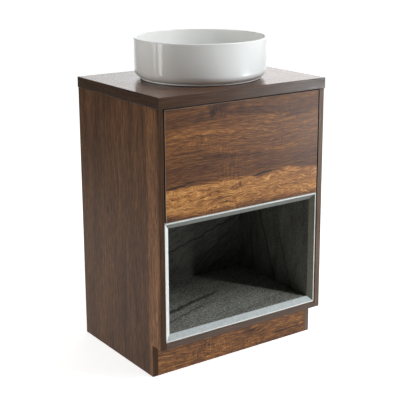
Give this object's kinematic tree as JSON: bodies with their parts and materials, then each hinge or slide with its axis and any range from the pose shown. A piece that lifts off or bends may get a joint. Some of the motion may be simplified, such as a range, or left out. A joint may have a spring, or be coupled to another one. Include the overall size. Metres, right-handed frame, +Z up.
{
  "type": "vessel sink on vanity",
  "caption": "Free-standing walnut-effect vanity with a round white vessel basin, a push-to-open drawer cut out around the trap, and an open slate-effect niche in a silver frame.",
  "frame": {"origin": "middle of the footprint (worktop outline) on the floor", "axes": "+Z up, the drawer front and the niche face -Y, +X to the right seen from the front"},
  "size_m": [0.6, 0.465, 0.967],
  "materials": {
    "walnut_laminate": "satin wood-effect laminate, walnut grain",
    "worktop_laminate": "satin dark walnut laminate",
    "slate_laminate": "matt slate-effect laminate on board",
    "silver_trim": "satin anodised, pale silver grey",
    "carcass_board": "plain walnut-coloured laminate on board",
    "drawer_board": "dark grey textile-effect laminate on board",
    "glazed_ceramic": "gloss white glaze",
    "chrome": "polished chrome plate",
    "zinc_steel": "bright zinc plate",
    "black_rubber": "matt black rubber",
    "clear_silicone": "cured translucent silicone",
    "white_plastic": "moulded, semi-gloss",
    "grey_plastic": "moulded, matt"
  },
  "bodies": {
    "cabinet": {"side_panel_left": "walnut_laminate", "side_panel_right": "walnut_laminate", "bottom_panel": "walnut_laminate", "plinth": "walnut_laminate", "divider_panel": "carcass_board", "front_stretcher": "carcass_board", "rear_stretcher": "carcass_board", "rear_rail": "carcass_board", "lower_rail": "carcass_board", "niche_floor": "slate_laminate", "niche_ceiling": "slate_laminate", "niche_side_left": "slate_laminate", "niche_side_right": "slate_laminate", "niche_back": "slate_laminate", "trim_bottom": "silver_trim", "trim_top": "silver_trim", "trim_left": "silver_trim", "trim_right": "silver_trim", "wall_bracket_left": "zinc_steel", "wall_bracket_right": "zinc_steel", "worktop": "worktop_laminate", "worktop_screw_1": "zinc_steel", "worktop_screw_2": "zinc_steel", "worktop_screw_3": "zinc_steel", "worktop_screw_4": "zinc_steel", "basin": "glazed_ceramic", "basin_bedding": "clear_silicone", "waste_flange_seal": "black_rubber", "waste_body": "chrome", "waste_cartridge": "grey_plastic", "waste_washer": "black_rubber", "waste_backnut": "white_plastic", "trap_inlet_nut": "chrome", "trap_inlet_tube": "chrome", "trap_neck_nut": "chrome", "trap_body": "chrome", "trap_cup": "chrome", "trap_outlet_nut": "chrome", "trap_outlet_pipe": "chrome", "trap_wall_flange": "chrome", "runner_left_cabinet": "zinc_steel", "runner_right_cabinet": "zinc_steel", "latch_housing": "grey_plastic"},
    "drawer": {"drawer_front": "walnut_laminate", "drawer_inner_front": "drawer_board", "drawer_side_left": "drawer_board", "drawer_side_right": "drawer_board", "drawer_base": "drawer_board", "drawer_back_left": "drawer_board", "drawer_back_right": "drawer_board", "recess_wall_front": "drawer_board", "recess_wall_left": "drawer_board", "recess_wall_right": "drawer_board", "runner_left_drawer": "zinc_steel", "runner_right_drawer": "zinc_steel"},
    "runner_left": {"runner_left_middle": "zinc_steel"},
    "runner_right": {"runner_right_middle": "zinc_steel"},
    "plug": {"waste_plug": "chrome"},
    "plunger": {"latch_plunger": "white_plastic"}
  },
  "joints": [
    {"name": "drawer_slide", "type": "slide", "parent": "cabinet", "child": "drawer", "axis": [0, -1, 0], "range_m": [-0.003, 0.35]},
    {"name": "runner_left_slide", "type": "slide", "parent": "cabinet", "child": "runner_left", "axis": [0, -1, 0], "range_m": [-0.0015, 0.175]},
    {"name": "runner_right_slide", "type": "slide", "parent": "cabinet", "child": "runner_right", "axis": [0, -1, 0], "range_m": [-0.0015, 0.175]},
    {"name": "plug_slide", "type": "slide", "parent": "cabinet", "child": "plug", "axis": [0, 0, 1], "range_m": [0, 0.008]},
    {"name": "plunger_slide", "type": "slide", "parent": "cabinet", "child": "plunger", "axis": [0, -1, 0], "range_m": [-0.0003, 0.035]}
  ],
  "couplings": [
    {"joint": "runner_left_slide", "follows": "drawer_slide", "ratio": 0.5},
    {"joint": "runner_right_slide", "follows": "drawer_slide", "ratio": 0.5},
    {"joint": "plunger_slide", "follows": "drawer_slide", "ratio": 0.1}
  ]
}
